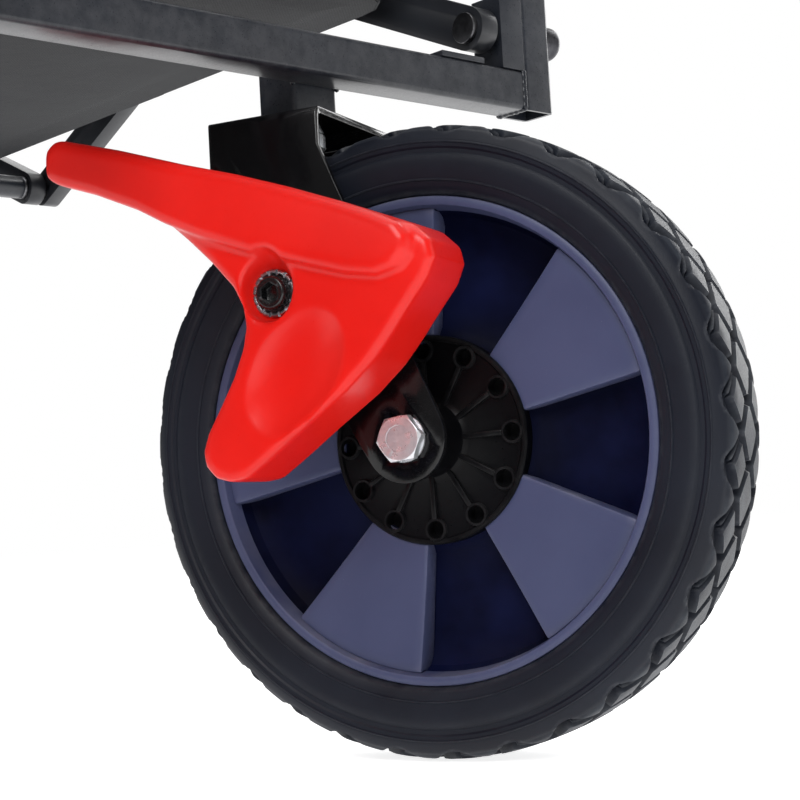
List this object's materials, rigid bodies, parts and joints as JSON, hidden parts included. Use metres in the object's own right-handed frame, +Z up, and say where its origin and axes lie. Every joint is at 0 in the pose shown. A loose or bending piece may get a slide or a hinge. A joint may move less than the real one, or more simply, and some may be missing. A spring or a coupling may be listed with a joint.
{
  "type": "folding garden cart",
  "caption": "Folding garden cart: square-tube end frames joined by scissor arms, fabric tub, pull handle, swivel front wheels with red foot brakes, fixed rear wheels.",
  "frame": {"origin": "on the ground, midway between the four posts of the opened cart", "axes": "+X forward, the handle's end; +Y to the cart's left; +Z up"},
  "size_m": [1.0914, 0.662, 0.855],
  "materials": {
    "frame_black": "satin black powder coat",
    "arm_black": "satin black powder coat",
    "fork_gloss_black": "gloss black paint",
    "zinc": "bright zinc plate",
    "dark_fastener": "black oxide",
    "pedal_bolt_steel": "black socket screw on a silver serrated washer",
    "black_plastic": "moulded black plastic",
    "handle_black": "satin black powder coat",
    "slide_tube_steel": "chromed tube",
    "brake_red": "glossy red moulded plastic",
    "tyre_black": "black foamed rubber with a block tread",
    "rim_slate": "slate-blue moulded plastic",
    "tub_fabric": "black woven polyester"
  },
  "bodies": {
    "front_frame": {"front_bottom_rail": "frame_black", "front_top_rail": "frame_black", "front_posts": "frame_black", "front_post_caps": "black_plastic", "front_foot_bolts": "dark_fastener", "corner_brackets": "frame_black", "caster_stems": "frame_black", "stem_bushes": "black_plastic", "handle_bracket": "frame_black", "handle_bolt": "dark_fastener", "fabric_tub": "tub_fabric"},
    "front_lower_arms": {"left_front_lower_arm": "arm_black", "right_front_lower_arm": "arm_black", "front_arm_pins": "dark_fastener"},
    "front_upper_arms": {"left_front_upper_arm": "arm_black", "right_front_upper_arm": "arm_black"},
    "rear_upper_arms": {"left_rear_upper_arm": "arm_black", "right_rear_upper_arm": "arm_black", "rear_arm_pins": "dark_fastener", "cross_bar": "frame_black"},
    "rear_lower_arms": {"left_rear_lower_arm": "arm_black", "right_rear_lower_arm": "arm_black"},
    "rear_frame": {"rear_bottom_rail": "frame_black", "rear_top_rail": "frame_black", "rear_posts": "frame_black", "rear_post_caps": "black_plastic", "rear_foot_bolts": "dark_fastener", "rear_forks": "fork_gloss_black", "rear_axle_bolts": "zinc", "rear_axle_nuts": "zinc"},
    "front_slider_pair": {"front_sliders": "black_plastic"},
    "rear_slider_pair": {"rear_sliders": "black_plastic"},
    "left_rear_wheel": {"left_rear_tyre": "tyre_black", "left_rear_rim": "rim_slate"},
    "right_rear_wheel": {"right_rear_tyre": "tyre_black", "right_rear_rim": "rim_slate"},
    "handle": {"handle_tube": "handle_black", "handle_collar": "black_plastic"},
    "handle_slide": {"slide_tube": "slide_tube_steel", "handle_grip": "black_plastic"},
    "left_caster": {"left_caster_fork": "fork_gloss_black", "left_kingpin": "zinc", "left_axle_bolt": "zinc", "left_axle_nut": "zinc", "left_pedal_bolt": "pedal_bolt_steel"},
    "left_front_wheel": {"left_front_tyre": "tyre_black", "left_front_rim": "rim_slate", "left_wheel_bushes": "black_plastic"},
    "left_brake": {"left_brake_pedal": "brake_red"},
    "left_lock": {"left_lock_pin": "zinc"},
    "right_caster": {"right_caster_fork": "fork_gloss_black", "right_kingpin": "zinc", "right_axle_bolt": "zinc", "right_axle_nut": "zinc", "right_pedal_bolt": "pedal_bolt_steel"},
    "right_front_wheel": {"right_front_tyre": "tyre_black", "right_front_rim": "rim_slate", "right_wheel_bushes": "black_plastic"},
    "right_brake": {"right_brake_pedal": "brake_red"},
    "right_lock": {"right_lock_pin": "zinc"}
  },
  "joints": [
    {"name": "fold", "type": "hinge", "parent": "front_frame", "child": "front_lower_arms", "pos_m": [0.4, 0, 0.316], "axis": [0, 1, 0], "range_deg": [0, 31], "deforming": ["fabric_tub"]},
    {"name": "front_cross", "type": "hinge", "parent": "front_lower_arms", "child": "front_upper_arms", "pos_m": [0.2, 0, 0.40765], "axis": [0, 1, 0], "range_deg": [-62.01, 0]},
    {"name": "middle_bottom", "type": "hinge", "parent": "front_upper_arms", "child": "rear_upper_arms", "pos_m": [0, 0, 0.316], "axis": [0, 1, 0], "range_deg": [0, 62.01]},
    {"name": "rear_cross", "type": "hinge", "parent": "rear_upper_arms", "child": "rear_lower_arms", "pos_m": [-0.2, 0, 0.40765], "axis": [0, 1, 0], "range_deg": [-62.01, 0]},
    {"name": "rear_foot", "type": "hinge", "parent": "rear_lower_arms", "child": "rear_frame", "pos_m": [-0.4, 0, 0.316], "axis": [0, 1, 0], "range_deg": [0, 31.01]},
    {"name": "front_slider_turn", "type": "hinge", "parent": "front_upper_arms", "child": "front_slider_pair", "pos_m": [0.4, 0, 0.4993], "axis": [0, 1, 0], "range_deg": [0, 31.01]},
    {"name": "rear_slider_turn", "type": "hinge", "parent": "rear_upper_arms", "child": "rear_slider_pair", "pos_m": [-0.4, 0, 0.4993], "axis": [0, 1, 0], "range_deg": [-31.01, 0]},
    {"name": "left_rear_roll", "type": "hinge", "parent": "rear_frame", "child": "left_rear_wheel", "pos_m": [-0.4, 0.28, 0.127], "axis": [0, 1, 0], "continuous": true},
    {"name": "right_rear_roll", "type": "hinge", "parent": "rear_frame", "child": "right_rear_wheel", "pos_m": [-0.4, -0.28, 0.127], "axis": [0, 1, 0], "continuous": true},
    {"name": "handle_tilt", "type": "hinge", "parent": "front_frame", "child": "handle", "pos_m": [0.429, 0, 0.289], "axis": [0, 1, 0], "range_deg": [0, 95]},
    {"name": "handle_extend", "type": "slide", "parent": "handle", "child": "handle_slide", "axis": [0, 0, 1], "range_m": [0, 0.25]},
    {"name": "left_swivel", "type": "hinge", "parent": "front_frame", "child": "left_caster", "pos_m": [0.379, 0.191, 0.28], "axis": [0, 0, 1], "continuous": true},
    {"name": "left_front_roll", "type": "hinge", "parent": "left_caster", "child": "left_front_wheel", "pos_m": [0.4337, 0.2131, 0.127], "axis": [-0.3746, 0.9272, 0], "continuous": true},
    {"name": "left_brake_press", "type": "hinge", "parent": "left_caster", "child": "left_brake", "pos_m": [0.40125, 0.19999, 0.1845], "axis": [0.3746, -0.9272, 0], "range_deg": [0, 12]},
    {"name": "left_lock_slide", "type": "slide", "parent": "left_caster", "child": "left_lock", "axis": [-0.3746, 0.9272, 0], "range_m": [0, 0.005]},
    {"name": "right_swivel", "type": "hinge", "parent": "front_frame", "child": "right_caster", "pos_m": [0.379, -0.191, 0.28], "axis": [0, 0, 1], "continuous": true},
    {"name": "right_front_roll", "type": "hinge", "parent": "right_caster", "child": "right_front_wheel", "pos_m": [0.43727, -0.18177, 0.127], "axis": [-0.1564, 0.9877, 0], "continuous": true},
    {"name": "right_brake_press", "type": "hinge", "parent": "right_caster", "child": "right_brake", "pos_m": [0.4027, -0.18725, 0.1845], "axis": [0.1564, -0.9877, 0], "range_deg": [0, 12]},
    {"name": "right_lock_slide", "type": "slide", "parent": "right_caster", "child": "right_lock", "axis": [0.1564, -0.9877, 0], "range_m": [0, 0.005]}
  ],
  "couplings": [
    {"joint": "front_cross", "follows": "fold", "ratio": -2},
    {"joint": "middle_bottom", "follows": "fold", "ratio": 2},
    {"joint": "rear_cross", "follows": "fold", "ratio": -2},
    {"joint": "rear_foot", "follows": "fold", "ratio": 1},
    {"joint": "front_slider_turn", "follows": "fold", "ratio": 1},
    {"joint": "rear_slider_turn", "follows": "fold", "ratio": -1},
    {"joint": "left_lock_slide", "follows": "left_brake_press", "m_per_rad": 0.0238},
    {"joint": "right_lock_slide", "follows": "right_brake_press", "m_per_rad": 0.0238}
  ]
}
